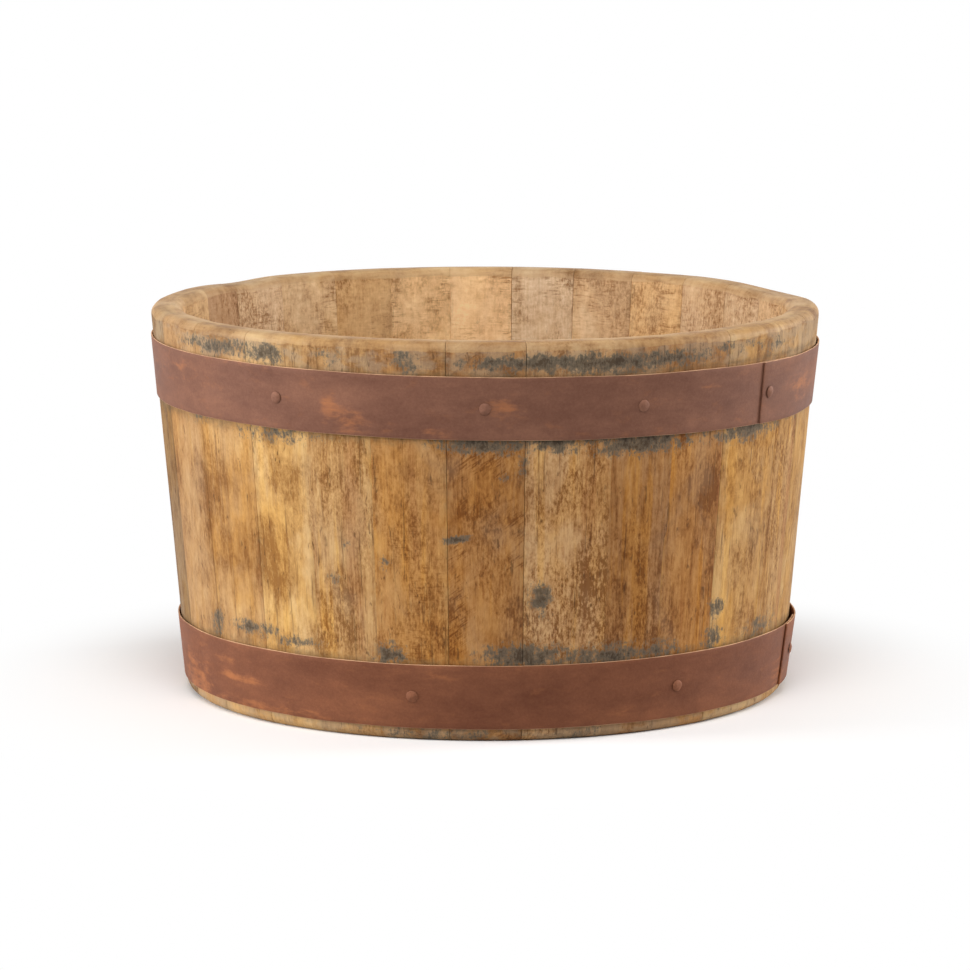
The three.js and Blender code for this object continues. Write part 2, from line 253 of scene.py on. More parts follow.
def bend_into_ring(bm, middle, half, width, seed):
    """Lays the straight board into the wall, and marks where it is worn, stained and weathered.
    Stains, weather, and dirt with painted shade along the hoops' edges lie on its outer side, and
    end part way through it."""
    grain = bm.verts.layers.float_vector.new("grain")
    ring = bm.verts.layers.float_vector.new("ring")
    stain, weather, grime_and_shade, inside, edge = (
        bm.verts.layers.float.new(name) for name in ("stain", "weather", "grime_and_shade", "inside", "edge"))
    step = STAVE_STEP * abs(noise.noise(seed))
    stains = patches_near(STAINS, middle, half)
    weathers = patches_near(WEATHER, middle, half)
    for vert in bm.verts:
        across, through, up = vert.co
        vert[grain] = Vector((across, through, up)) + seed
        depth = through / STAVE_THICKNESS
        hollow = noise.noise(Vector((across * WEAR_SCALE[0], up * WEAR_SCALE[1], seed.x)))
        wear_and_edge_highlight = WEAR_DEPTH * (0.5 + 0.5 * hollow)
        radius = outer_radius(up) - WALL_WIDTH * (1 - depth) - wear_and_edge_highlight * (2 * depth - 1)
        seam = half - math.asin(min(1, JOINT_GAP / 2 / radius))
        turn = middle + across / (width / 2) * seam
        rise = up - (crown_dip(turn) + step) * (up / TUB_HEIGHT) ** DIP_SHARPNESS
        flattened = math.cos(seam) / math.cos(turn - middle)
        vert.co = around(turn, radius * (flattened + (1 - flattened) * depth), rise)
        outside = min(1, max(0, depth * 3 - 1.4))
        vert[stain] = outside * max(patch_falls(stains, turn, up), default=0)
        vert[weather] = outside * sum(patch_falls(weathers, turn, up))
        # Dirt and painted shade in bands along the hoops' edges, on the outer side.
        vert[grime_and_shade] = outside * grime_and_shade_at(up)
        vert[ring] = Vector((turn * RIM_RADIUS, through, up))
        vert[inside] = 1 - depth
        vert[edge] = max(0, 1 - (width / 2 - abs(across)) / EDGE_REACH)


def linear(red, green, blue):
    """A colour as read off the photograph, 0 to 255, as the linear value that a shader takes."""
    shares = (channel / 255 for channel in (red, green, blue))
    return tuple(s / 12.92 if s < 0.04045 else ((s + 0.055) / 1.055) ** 2.4 for s in shares) + (1,)


def put(tree, kind, inputs=None, **settings):
    """Adds a node, sets it up, and wires or sets its inputs."""
    made = tree.nodes.new(kind)
    for name, value in settings.items():
        setattr(made, name, value)
    for socket, value in (inputs or {}).items():
        if isinstance(value, bpy.types.NodeSocket):
            tree.links.new(value, made.inputs[socket])
        else:
            made.inputs[socket].default_value = value
    return made


def math_on(tree, operation, *values):
    return put(tree, "ShaderNodeMath", dict(enumerate(values)), operation=operation).outputs[0]


def times(tree, first, second):
    return math_on(tree, "MULTIPLY", first, second)


def plus_share(tree, value, share, base):
    """A value times a share, on top of a base."""
    return math_on(tree, "MULTIPLY_ADD", value, share, base)


def swing(tree, value, amount, base=0.0):
    """A noise about its middle, times an amount, on top of a base."""
    centred = math_on(tree, "SUBTRACT", value, 0.5)
    return plus_share(tree, centred, amount, base)


def mixed(tree, share, first, second, blend="MIX"):
    made = put(tree, "ShaderNodeMix", {0: share, 6: first, 7: second}, data_type="RGBA",
               blend_type=blend)
    return made.outputs[2]


def remapped(tree, value, low, high, to_low=0.0, to_high=1.0):
    made = put(tree, "ShaderNodeMapRange", {"Value": value, "From Min": low, "From Max": high,
                                            "To Min": to_low, "To Max": to_high},
               interpolation_type="SMOOTHSTEP")
    return made.outputs["Result"]


def lessened(tree, mask, least, most=1.0):
    """Runs from the most, where a mask is 0, to the least, where it is 1."""
    return remapped(tree, mask, 0.0, 1.0, most, least)


def stretched_noise(tree, vector, scale, detail=3.0, roughness=0.55, distortion=0.0):
    """Noise whose grain is drawn out: scale is in features per metre along each direction."""
    place = put(tree, "ShaderNodeMapping", {"Vector": vector, "Scale": scale}, vector_type="POINT")
    made = put(tree, "ShaderNodeTexNoise", {
        "Vector": place.outputs[0], "Scale": 1.0, "Detail": detail,
        "Roughness": roughness, "Distortion": distortion})
    return made.outputs["Fac"]


def new_group(name, inputs, outputs):
    tree = bpy.data.node_groups.new(name, "ShaderNodeTree")
    for label, kind in inputs:
        tree.interface.new_socket(label, in_out="INPUT", socket_type=kind)
    for label, kind in outputs:
        tree.interface.new_socket(label, in_out="OUTPUT", socket_type=kind)
    return tree, tree.nodes.new("NodeGroupInput"), tree.nodes.new("NodeGroupOutput")


def toned(tree, lightness, tone, dark_share, pale_share):
    """A tone where the lightness is 0.5, its dark form towards 0 and its pale form towards 1."""
    dark = mixed(tree, 1.0, tone, dark_share, "MULTIPLY")
    pale = mixed(tree, 1.0, tone, pale_share, "MULTIPLY")
    shade = put(tree, "ShaderNodeMapRange", {"Value": lightness, "From Min": 0.0, "From Max": 0.5})
    glow = put(tree, "ShaderNodeMapRange", {"Value": lightness, "From Min": 0.5, "From Max": 1.0})
    color = mixed(tree, shade.outputs["Result"], dark, tone)
    return mixed(tree, glow.outputs["Result"], color, pale)


def give_out(tree, result, color, rough, height):
    for label, value in (("Color", color), ("Roughness", rough), ("Height", height)):
        tree.links.new(value, result.inputs[label])


COLOR, FLOAT, VECTOR = "NodeSocketColor", "NodeSocketFloat", "NodeSocketVector"
# What a tone is multiplied by: at its palest and darkest, and where wax or resin has tinted it.
PALING = (1.32, 1.48, 1.66, 1)
DARKENING = (0.50, 0.40, 0.31, 1)
GOLDEN_WASH = (1.0, 0.93, 0.74, 1)
RESIN_WASH = (1.14, 1.06, 0.72, 1)
MAROON_WASH = (0.80, 0.67, 0.64, 1)
DRY_GREY = linear(176, 154, 126)
IRON_BLACK = linear(60, 53, 45)
IRON_GREY = linear(106, 97, 83)
CROWN_TONE = linear(174, 138, 96)
# The brown of the seam dirt, and of the dirt and painted shade along the hoops' edges.
GRIME_AND_SHADE = linear(104, 84, 58)
SPECK_BROWN = linear(70, 46, 28)
# The height where the sanded crown of the rim starts, how far that line wavers along the ring, and
# how ragged it is close up.
CROWN_EDGE = TUB_HEIGHT - 0.0075
CROWN_WAVER = 0.009
CROWN_RAGGED = 0.004
# The heights between which the greyed wood at the rim and at the foot comes in.
ABOVE_HOOP = (0.29, 0.31)
BELOW_HOOP = (0.03, 0.01)


def make_old_wood():
    """Old sawn hardwood. Its patterns add up to a lightness, which leads from a dark tone through
    the board's own to a pale one. Wax, cracks, dirt with painted shade along the hoops' edges, and
    iron lie on top."""
    tree, given, result = new_group(
        "Old wood",
        [("Grain", VECTOR), ("Place", VECTOR), ("Ring", VECTOR), ("Tone", COLOR),
         ("Inner tone", COLOR), ("Fibres", FLOAT), ("Pepper", FLOAT), ("Mottle", FLOAT),
         ("Streaks", FLOAT), ("Clouds", FLOAT), ("Saw marks", FLOAT), ("Saw slant", VECTOR),
         ("Weather", FLOAT), ("Stain", FLOAT), ("Grime_and_shade", FLOAT), ("Inside", FLOAT), ("Edge", FLOAT)],
        [("Color", COLOR), ("Roughness", FLOAT), ("Height", FLOAT)])
    take = given.outputs
    grain, place, ring = take["Grain"], take["Place"], take["Ring"]

    # The patterns. Scales are in features per metre across, through and along a board.
    figure = stretched_noise(tree, grain, (45, 45, 2.4), 3, 0.55)
    streak = stretched_noise(tree, grain, (170, 170, 7), 3, 0.6)
    cloud = stretched_noise(tree, place, (24, 24, 15), 6, 0.6, 0.3)
    blotch = stretched_noise(tree, grain, (80, 80, 48), 5, 0.62, 0.6)
    mottle = stretched_noise(tree, grain, (170, 170, 80), 5, 0.68)
    cross_mottle = stretched_noise(tree, grain, (85, 85, 210), 5, 0.66)
    fibre = stretched_noise(tree, grain, (500, 500, 42), 3, 0.62)
    pepper = stretched_noise(tree, grain, (440, 440, 240), 3, 0.7)
    tick = stretched_noise(tree, grain, (300, 300, 75), 2, 0.6, 0.8)
    crack = stretched_noise(tree, grain, (420, 420, 16), 2, 0.5, 0.5)
    smudge = stretched_noise(tree, place, (90, 90, 120), 6, 0.7)
    hue = stretched_noise(tree, place, (15, 15, 9), 4, 0.6, 0.5)
    resin = stretched_noise(tree, grain, (60, 60, 5), 4, 0.62, 0.4)
    ring_streak = stretched_noise(tree, ring, (22, 130, 130), 5, 0.62)
    end_patch = stretched_noise(tree, place, (30, 30, 55), 4, 0.6)

    # Saw marks lie in patches, more of them on the inside.
    inner = remapped(tree, take["Inside"], 0.3, 0.7)
    outer = math_on(tree, "SUBTRACT", 1.0, inner)
    slanted = put(tree, "ShaderNodeMapping", {"Vector": grain, "Rotation": take["Saw slant"]})
    tooth = stretched_noise(tree, slanted.outputs[0], (85, 85, 640), 3, 0.6)
    sawn_here = remapped(tree, stretched_noise(tree, grain, (28, 28, 18), 3), 0.46, 0.62)
    saw = times(tree, remapped(tree, tooth, 0.5, 0.66),
                math_on(tree, "MAXIMUM", take["Saw marks"], times(tree, inner, 0.7)))
    saw = times(tree, saw, sawn_here)

    # The crown was sanded smooth, and the line where it ends wavers.
    rise = put(tree, "ShaderNodeSeparateXYZ", {0: ring}).outputs["Z"]
    over_edge = swing(tree, ring_streak, CROWN_WAVER, math_on(tree, "SUBTRACT", rise, CROWN_EDGE))
    over_edge = swing(tree, smudge, CROWN_RAGGED, over_edge)
    crown = remapped(tree, over_edge, -0.0006, 0.0008)
    below_crown = times(tree, remapped(tree, over_edge, -0.0028, -0.0002),
                        math_on(tree, "SUBTRACT", 1.0, crown))

    # How light the wood is: broad figure and clouds first, then the fine detail.
    high = remapped(tree, rise, *ABOVE_HOOP)
    low = remapped(tree, rise, *BELOW_HOOP)
    ends = times(tree, math_on(tree, "MAXIMUM", high, low), outer)
    calm = lessened(tree, inner, 0.45)
    lightness = plus_share(tree, take["Weather"], 0.42, 0.5)
    lightness = swing(tree, figure, times(tree, calm, 0.7), lightness)
    lightness = swing(tree, streak, times(tree, calm, take["Streaks"]), lightness)
    lightness = swing(tree, cloud, times(tree, take["Clouds"], 1.4), lightness)
    peppery = remapped(tree, cloud, 0.6, 0.4, 0.5, 1.6)
    figured = plus_share(tree, inner, math_on(tree, "SUBTRACT", cross_mottle, mottle), mottle)
    detail = swing(tree, blotch, lessened(tree, inner, 0.8, 1.15), swing(tree, figured, 1.0))
    detail = times(tree, detail, take["Mottle"])
    detail = swing(tree, fibre, times(tree, calm, take["Fibres"]), detail)
    detail = swing(tree, pepper, times(tree, take["Pepper"], peppery), detail)
    detail = plus_share(tree, saw, -0.5, detail)
    smooth = lessened(tree, crown, 0.3)
    lightness = plus_share(tree, detail, smooth, lightness)
    lightness = plus_share(tree, crown, swing(tree, ring_streak, 1.3, 0.04), lightness)
    lightness = plus_share(tree, below_crown, -0.16, lightness)
    lightness = plus_share(tree, times(tree, ends, smooth), -0.09, lightness)

    # The tone, and the washes of wax, resin and dry grey over it.
    tone = mixed(tree, inner, take["Tone"], take["Inner tone"])
    tone = mixed(tree, times(tree, crown, 0.65), tone, CROWN_TONE)
    color = toned(tree, lightness, tone, DARKENING, PALING)
    outer_clouds = times(tree, take["Clouds"], lessened(tree, inner, 0.3, 0.9))
    golden = times(tree, remapped(tree, hue, 0.46, 0.62), outer_clouds)
    golden = times(tree, golden, lessened(tree, ends, 0.5))
    color = mixed(tree, golden, color, GOLDEN_WASH, "MULTIPLY")
    streaked = times(tree, take["Streaks"], math_on(tree, "SUBTRACT", outer, ends))
    gilt = times(tree, remapped(tree, resin, 0.52, 0.66), streaked)
    color = mixed(tree, gilt, color, RESIN_WASH, "MULTIPLY")
    maroon = times(tree, remapped(tree, resin, 0.46, 0.34), streaked)
    color = mixed(tree, times(tree, maroon, 0.7), color, MAROON_WASH, "MULTIPLY")
    greyed = remapped(tree, end_patch, 0.56, 0.42, 0.1, 0.5)
    greyed = times(tree, greyed, times(tree, ends, smooth))
    dry = times(tree, remapped(tree, hue, 0.48, 0.34), 0.15)
    color = mixed(tree, math_on(tree, "MAXIMUM", dry, greyed), color, DRY_GREY)

    # Dark ticks, fine cracks and wormy specks.
    ticks = times(tree, remapped(tree, tick, 0.61, 0.69), smooth)
    ticks = times(tree, ticks, lessened(tree, inner, 0.3))
    ticks = times(tree, ticks, remapped(tree, blotch, 0.58, 0.4, 0.15, 0.9))
    cracks = times(tree, remapped(tree, crack, 0.63, 0.7), times(tree, outer, smooth))
    cracks = times(tree, cracks, remapped(tree, streak, 0.6, 0.4, 0.2, 0.9))
    ticks = math_on(tree, "MAXIMUM", ticks, cracks)
    speck_place = put(tree, "ShaderNodeMapping", {"Vector": grain, "Scale": (190, 190, 90)})
    speck = put(tree, "ShaderNodeTexVoronoi", {"Vector": speck_place.outputs[0], "Scale": 1.0})
    specks = times(tree, remapped(tree, speck.outputs["Distance"], 0.2, 0.1),
                   remapped(tree, cloud, 0.46, 0.34))
    specks = math_on(tree, "MAXIMUM", times(tree, specks, outer), ticks)
    color = mixed(tree, times(tree, specks, 0.6), color, SPECK_BROWN)

    # Dirt along the seams, and dirt with painted shade in bands along the hoops' edges, where the
    # strap shades the wood.
    dirt_and_shade = times(tree, take["Edge"], remapped(tree, mottle, 0.44, 0.66, 0.0, 0.3))
    # Painted shade, with dirt, in bands along the hoops' edges.
    hoop_dirt_and_shade = swing(tree, smudge, 1.4, swing(tree, pepper, 0.8, take["Grime_and_shade"]))
    hoop_dirt_and_shade = times(tree, remapped(tree, hoop_dirt_and_shade, 0.45, 1.35, 0.0, 0.75),
                   remapped(tree, take["Grime_and_shade"], 0.0, 0.3))
    dirt_and_shade = times(tree, math_on(tree, "MAXIMUM", dirt_and_shade, hoop_dirt_and_shade), smooth)
    color = mixed(tree, dirt_and_shade, color, GRIME_AND_SHADE)

    # Iron stains, blackest at their middles.
    soaked = swing(tree, pepper, 1.5, swing(tree, smudge, 1.7, take["Stain"]))
    soaked = swing(tree, fibre, 0.55, soaked)
    stain = times(tree, remapped(tree, soaked, 0.24, 0.66),
                  remapped(tree, take["Stain"], 0.0, 0.25, 0.0, 0.9))
    stain = times(tree, stain, lessened(tree, crown, 0.25))
    iron = mixed(tree, remapped(tree, soaked, 0.5, 1.1), IRON_GREY, IRON_BLACK)
    color = mixed(tree, stain, color, iron)

    rough = lessened(tree, crown, 0.52, 0.68)
    rough = swing(tree, fibre, -0.3, rough)
    height = swing(tree, mottle, 0.9)
    height = swing(tree, fibre, times(tree, calm, 0.5), height)
    height = times(tree, height, smooth)
    height = plus_share(tree, saw, -0.4, height)
    height = plus_share(tree, specks, -0.7, height)
    height = plus_share(tree, crown, 0.5, height)
    give_out(tree, result, color, rough, height)
    return tree


old_wood = make_old_wood()

# Each kind of board: how strong its fibres, pepper, mottle, streaks, clouds and saw marks are, and
# how far the saw marks slant in degrees.
WOODS = {
    "plain": (0.5, 0.6, 0.85, 0.4, 1.0, 0.1, 0),
    "smooth": (0.5, 0.6, 0.62, 0.4, 1.3, 0.1, 0),
    "clouded": (0.8, 0.9, 0.95, 0.5, 1.6, 0.15, 0),
    "dry": (1.2, 2.2, 1.2, 0.6, 1.0, 0.1, 0),
    "weathered": (1.2, 1.3, 0.9, 0.9, 1.0, 0.1, 0),
    "sawn": (0.9, 1.2, 1.0, 0.5, 0.9, 0.5, 0),
    "swirled": (1.2, 1.3, 1.15, 0.5, 1.3, 1.0, 35),
    "streaky": (1.1, 1.3, 1.1, 1.1, 0.8, 0.1, 0),
}
# Each stave in turn: its kind, its colour outside and its colour inside.
STAVES = [
    ("plain", (178, 135, 88), (214, 174, 126)),
    ("smooth", (188, 144, 93), (214, 172, 122)),
    ("smooth", (202, 161, 108), (216, 176, 128)),
    ("weathered", (184, 140, 89), (212, 172, 128)),
    ("sawn", (178, 128, 74), (214, 170, 120)),
    ("swirled", (167, 116, 66), (216, 172, 120)),
    ("dry", (186, 140, 93), (220, 180, 132)),
    ("streaky", (161, 114, 71), (214, 170, 120)),
    ("streaky", (168, 116, 65), (210, 166, 118)),
    ("clouded", (186, 140, 86), (216, 174, 124)),
    ("streaky", (180, 136, 86), (212, 172, 126)),
    ("clouded", (178, 136, 86), (214, 172, 122)),
    ("plain", (180, 137, 87), (210, 168, 120)),
    ("weathered", (182, 142, 97), (206, 168, 126)),
    ("sawn", (190, 142, 93), (196, 162, 126)),
    ("weathered", (186, 144, 99), (194, 158, 120)),
    ("sawn", (190, 141, 87), (206, 164, 114)),
    ("clouded", (180, 131, 84), (200, 162, 120)),
    ("weathered", (186, 146, 103), (208, 176, 140)),
    ("plain", (198, 152, 101), (238, 196, 146)),
    ("clouded", (190, 142, 89), (232, 190, 138)),
    ("sawn", (184, 133, 80), (202, 160, 110)),
    ("clouded", (194, 148, 95), (206, 170, 127)),
    ("weathered", (186, 144, 97), (204, 170, 132)),
    ("streaky", (180, 133, 84), (172, 134, 98)),
    ("plain", (190, 146, 97), (206, 168, 122)),
    ("dry", (186, 142, 99), (210, 170, 126)),
    ("clouded", (134, 102, 68), (212, 170, 122)),
]
WALL_GLOSS = 0.12
WOOD_RELIEF = 0.0008
RELIEF_STRENGTH = 0.5


def attribute(tree, name, output):
    return put(tree, "ShaderNodeAttribute", attribute_name=name).outputs[output]


def dress(tree, coat, surface, relief):
    """Lays a group's colour, roughness and relief on a material's surface."""
    bump = put(tree, "ShaderNodeBump", {"Height": coat.outputs["Height"], "Distance": relief,
                                        "Strength": RELIEF_STRENGTH})
    tree.links.new(coat.outputs["Color"], surface.inputs["Base Color"])
    tree.links.new(coat.outputs["Roughness"], surface.inputs["Roughness"])
    tree.links.new(bump.outputs["Normal"], surface.inputs["Normal"])


def wood_material(name, wood, tone, inner_tone):
    fibres, pepper, mottle, streaks, clouds, saw_marks, slant = WOODS[wood]
    material = bpy.data.materials.new(name)
    material.use_nodes = True
    tree = material.node_tree
    surface = tree.nodes["Principled BSDF"]
    board = put(tree, "ShaderNodeGroup", {}, node_tree=old_wood)
    for label, value in (("Tone", linear(*tone)), ("Inner tone", linear(*inner_tone)),
                         ("Fibres", fibres), ("Pepper", pepper), ("Mottle", mottle),
                         ("Streaks", streaks), ("Clouds", clouds), ("Saw marks", saw_marks),
                         ("Saw slant", (0, math.radians(slant), 0))):
        board.inputs[label].default_value = value
    for label in ("stain", "weather", "grime_and_shade", "inside", "edge"):
        tree.links.new(attribute(tree, label, "Fac"), board.inputs[label.capitalize()])
    for label in ("grain", "ring"):
        tree.links.new(attribute(tree, label, "Vector"), board.inputs[label.capitalize()])
    tree.links.new(put(tree, "ShaderNodeTexCoord").outputs["Object"], board.inputs["Place"])
    dress(tree, board, surface, WOOD_RELIEF)
    surface.inputs["Specular IOR Level"].default_value = WALL_GLOSS
    return material


def finish_mesh(bm, name, material, sharp_angle=40):
    mesh = bpy.data.meshes.new(name)
    bm.to_mesh(mesh)
    bm.free()
    mesh.shade_smooth()
    mesh.set_sharp_from_angle(angle=math.radians(sharp_angle))
    mesh.materials.append(material)
    piece = bpy.data.objects.new(name, mesh)
    bpy.context.scene.collection.objects.link(piece)
    return piece


stave_nodes = sorted(name for name in nodes if name.startswith("stave_"))
for node, (wood, tone, inner_tone) in zip(stave_nodes, STAVES, strict=True):
    chance = random.Random(node)
    middle, half = stave_span(node)
    width = 2 * half * RIM_RADIUS
    bm = saw_board(width)
    seed = Vector([chance.uniform(0, GRAIN_SPREAD) for _ in range(3)])
    bend_into_ring(bm, middle, half, width, seed)
    material = wood_material(f"{node} {wood} wood", wood, tone, inner_tone)
    piece = finish_mesh(bm, f"{node}_board", material)
    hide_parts(node)
    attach(piece, "root")


# ---- Hoops ----
# Two lengths of flat 1.5 mm steel strap, rolled round the tub until the ends lap, and driven on
# over the foot. The steel has a matt brown rust with purple and orange patches.
STRAP_THICKNESS = 0.0015
STRAP_CLEARANCE = 0.0003
STRAP_EDGE = 0.0005
LAP_LENGTH = 0.046
LAP_RAMP = 0.060
FLARE_SHARPNESS = 4
STRAP_STEPS = 260
STRAP_GRID = 0.004
STRAP_WAVE = 0.0005
STRAP_WAVE_SCALE = 16
STRAP_SHIFT = (20, 90)  # these keep the two straps' patterns and waves apart
EDGE_HIGHLIGHT_SHARE = 0.9  # how much of the rounded edge gets the painted highlight

HOOPS = {
    "upper": {"width": 0.054, "height": 0.2895, "skew": 0.0032, "flare_left": 0,
              "flare_right": 0.001, "lap_angle": math.radians(53.2)},
    "lower": {"width": 0.056, "height": 0.039, "skew": 0.0005, "flare_left": 0.0007,
              "flare_right": 0.0026, "lap_angle": math.radians(73.2)},
}

# Brighter rust by place, in the terms of the stains.
RUST_BLOOMS = {
    "upper": [(-26.5, 0.9, 286, 14, 1.0), (-22.5, 3, 277, 9, 0.8), (2.5, 3.5, 292, 7, 0.7),
              (-62, 7, 300, 9, 0.5), (41, 3, 300, 2, 0.5), (45, 2, 293, 2, 0.4),
              (-8, 4, 268, 4, 0.5), (68, 5, 280, 14, 0.5), (120, 4, 285, 12, 0.8),
              (165, 3, 280, 14, 0.8), (-140, 5, 290, 10, 0.8), (-100, 3, 282, 14, 0.8)],
    "lower": [(-52, 5, 36, 2.6, 1.1), (-69, 7, 24, 16, 0.9), (-45, 20, 14, 4, 0.7),
              (72, 3, 22, 16, 0.6), (-55, 3, 50, 4, 0.5), (30, 8, 22, 3, 0.35),
              (-8, 6, 58, 4, 0.3), (110, 5, 40, 12, 0.8), (150, 8, 20, 6, 0.8),
              (-150, 5, 45, 12, 0.8), (-110, 8, 22, 6, 0.8)],
}


def smoothstep(value, low, high):
    share = min(1, max(0, (value - low) / (high - low)))
    return share * share * (3 - 2 * share)


def hoop_middle(hoop, turn):
    return hoop["height"] - hoop["skew"] * math.sin(turn)


def hoop_flare(hoop, turn):
    """How far the upper edge stands off the wood at the tub's sides."""
    side = math.sin(turn)
    return (hoop["flare_right"] if side > 0 else hoop["flare_left"]) * side ** FLARE_SHARPNESS


def strap_inner_radius(hoop, run, turn, z):
    """The strap's inner face, at a length along the strap from its outer end."""
    settled = smoothstep(run, LAP_LENGTH, LAP_LENGTH + LAP_RAMP)
    lift = (1 - settled) * (STRAP_THICKNESS + STRAP_CLEARANCE)
    rise = (z - hoop_middle(hoop, turn)) / hoop["width"] + 0.5
    return outer_radius(z) + STRAP_CLEARANCE + lift + hoop_flare(hoop, turn) * rise


RUST_DARKENING = (0.66, 0.60, 0.60, 1)
RUST_PALING = (1.4, 1.45, 1.4, 1)
WARM_RUST = linear(176, 112, 70)
BLOOM_RUST = linear(196, 124, 74)
# Pale rust painted along the strap's edges as a highlight, where light would catch them.
EDGE_HIGHLIGHT = linear(214, 170, 132)


def make_rust():
    """Even brown rust with soft darker and warmer drifts along the strap, brighter blooms, edges
    painted pale as a highlight, and fine grit."""
    tree, given, result = new_group(
        "Rust",
        [("Along", VECTOR), ("Tone", COLOR), ("Bloom", FLOAT), ("Edge highlight", FLOAT)],
        [("Color", COLOR), ("Roughness", FLOAT), ("Height", FLOAT)])
    take = given.outputs
    along = take["Along"]
    broad = stretched_noise(tree, along, (9, 30, 30), 4, 0.6)
    patch = stretched_noise(tree, along, (32, 60, 55), 6, 0.64, 0.4)
    drift = stretched_noise(tree, along, (60, 60, 200), 4, 0.6)
    grit = stretched_noise(tree, along, (520, 520, 520), 4, 0.7)
    lightness = swing(tree, broad, 1.3, 0.5)
    lightness = swing(tree, patch, 0.9, lightness)
    lightness = swing(tree, drift, 0.3, lightness)
    lightness = swing(tree, grit, 0.7, lightness)
    color = toned(tree, lightness, take["Tone"], RUST_DARKENING, RUST_PALING)
    warm = remapped(tree, stretched_noise(tree, along, (40, 60, 90), 5, 0.65, 0.3), 0.56, 0.74)
    color = mixed(tree, times(tree, warm, 0.22), color, WARM_RUST)
    bloom = swing(tree, patch, 1.8, swing(tree, drift, 1.6, take["Bloom"]))
    bloom = times(tree, remapped(tree, bloom, 0.2, 1.1), remapped(tree, take["Bloom"], 0.0, 0.35))
    color = mixed(tree, times(tree, bloom, 0.55), color, BLOOM_RUST)
    # A painted highlight along the strap's rounded edges.
    wear_and_edge_highlight = times(tree, take["Edge highlight"], remapped(tree, patch, 0.4, 0.6, 0.5, 1.0))
    color = mixed(tree, wear_and_edge_highlight, color, EDGE_HIGHLIGHT)
    rough = remapped(tree, broad, 0.3, 0.7, 0.55, 0.7)
    height = plus_share(tree, grit, 0.3, swing(tree, patch, 1.4))
    give_out(tree, result, color, rough, height)
    return tree


rust = make_rust()
RUST_RELIEF = 0.0007
RUST_METAL = 0.1
RUST_GLOSS = 0.15


def rust_material(name, tone):
    material = bpy.data.materials.new(name)
    material.use_nodes = True
    tree = material.node_tree
    surface = tree.nodes["Principled BSDF"]
    coat = put(tree, "ShaderNodeGroup", {}, node_tree=rust)
    coat.inputs["Tone"].default_value = linear(*tone)
    tree.links.new(attribute(tree, "along", "Vector"), coat.inputs["Along"])
    tree.links.new(attribute(tree, "bloom", "Fac"), coat.inputs["Bloom"])
    tree.links.new(attribute(tree, "wear_and_edge_highlight", "Fac"), coat.inputs["Edge highlight"])
    dress(tree, coat, surface, RUST_RELIEF)
    surface.inputs["Metallic"].default_value = RUST_METAL
    surface.inputs["Specular IOR Level"].default_value = RUST_GLOSS
    return material


HOOP_RUST = {"upper": rust_material("Upper strap rust", (124, 84, 67)),
             "lower": rust_material("Lower strap rust", (125, 77, 54))}


def roll_strap(name, hoop, blooms):
    """Starts from a flat bar, x along it from the outer end, y through it and z across it."""
    girth = outer_radius(hoop["height"])
    length = math.tau * girth + LAP_LENGTH
    bm = bmesh.new()
    size = Matrix.Diagonal((length, STRAP_THICKNESS, hoop["width"], 1))
    bmesh.ops.create_cube(bm, size=1, matrix=size @ Matrix.Translation((0.5, 0.5, 0)))
    round_edges(bm, bm.edges[:], STRAP_EDGE, 2)
    cut_across(bm, 0, steps(0, length, length / STRAP_STEPS))
    cut_across(bm, 2, steps(-hoop["width"] / 2, hoop["width"] / 2, STRAP_GRID))
    along = bm.verts.layers.float_vector.new("along")
    bloom, wear_and_edge_highlight = (bm.verts.layers.float.new(label) for label in ("bloom", "wear_and_edge_highlight"))
    for vert in bm.verts:
        run, through, up = vert.co
        vert[along] = vert.co + Vector((0, hoop["height"] * STRAP_SHIFT[0], 0))
        turn = hoop["lap_angle"] + run / girth
        side = 2 * up / hoop["width"]
        bend = Vector((run * STRAP_WAVE_SCALE, side, hoop["width"] * STRAP_SHIFT[1]))
        z = hoop_middle(hoop, turn) + up + STRAP_WAVE * side * noise.noise(bend)
        vert.co = around(turn, strap_inner_radius(hoop, run, turn, z) + through, z)
        vert[bloom] = max(patch_falls(blooms, turn, z), default=0)
        # Marks the strap's rounded edges for their painted highlight.
        vert[wear_and_edge_highlight] = 1 if abs(up) > hoop["width"] / 2 - STRAP_EDGE * EDGE_HIGHLIGHT_SHARE else 0
    bmesh.ops.recalc_face_normals(bm, faces=bm.faces[:])
    return finish_mesh(bm, f"{name}_strap", HOOP_RUST[name], sharp_angle=50)


for name, hoop in HOOPS.items():
    piece = roll_strap(name, hoop, RUST_BLOOMS[name])
    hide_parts(f"{name}_hoop")
    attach(piece, "root")


# ---- Nails ----
# Round steel nails with low hammered heads hold the hoops to the staves, one of them through
# each lap. Each stands square to the leaning strap, and rusts with it.
NAIL_HEAD_RADIUS = 0.0053
NAIL_HEAD_HEIGHT = 0.002
NAIL_SHANK_RADIUS = 0.0017
NAIL_POINT = 0.005
NAIL_SIDES = 24
NAIL_RINGS = 14
NAIL_CROWNING = 1.6  # above 1, the head is flatter towards its rim
NAIL_SLOPE = 0.16
NAIL_FLATTENING = 0.1
NAIL_UNEVENNESS = 0.09  # how far the rim of the head is out of round
NAIL_DENTS = 0.2

NAIL_RUST = {"upper": rust_material("Upper nail rust", (132, 91, 73)),
             "lower": rust_material("Lower nail rust", (131, 83, 60))}


def nail_ends(node):
    """The point of a nail and the top of its head, which are its two corners furthest apart."""
    corners = [vertex.co for vertex in nodes[node].data.vertices]
    pair = max(itertools.combinations(corners, 2), key=lambda ends: (ends[0] - ends[1]).length)
    return sorted(pair, key=lambda end: end.xy.length)


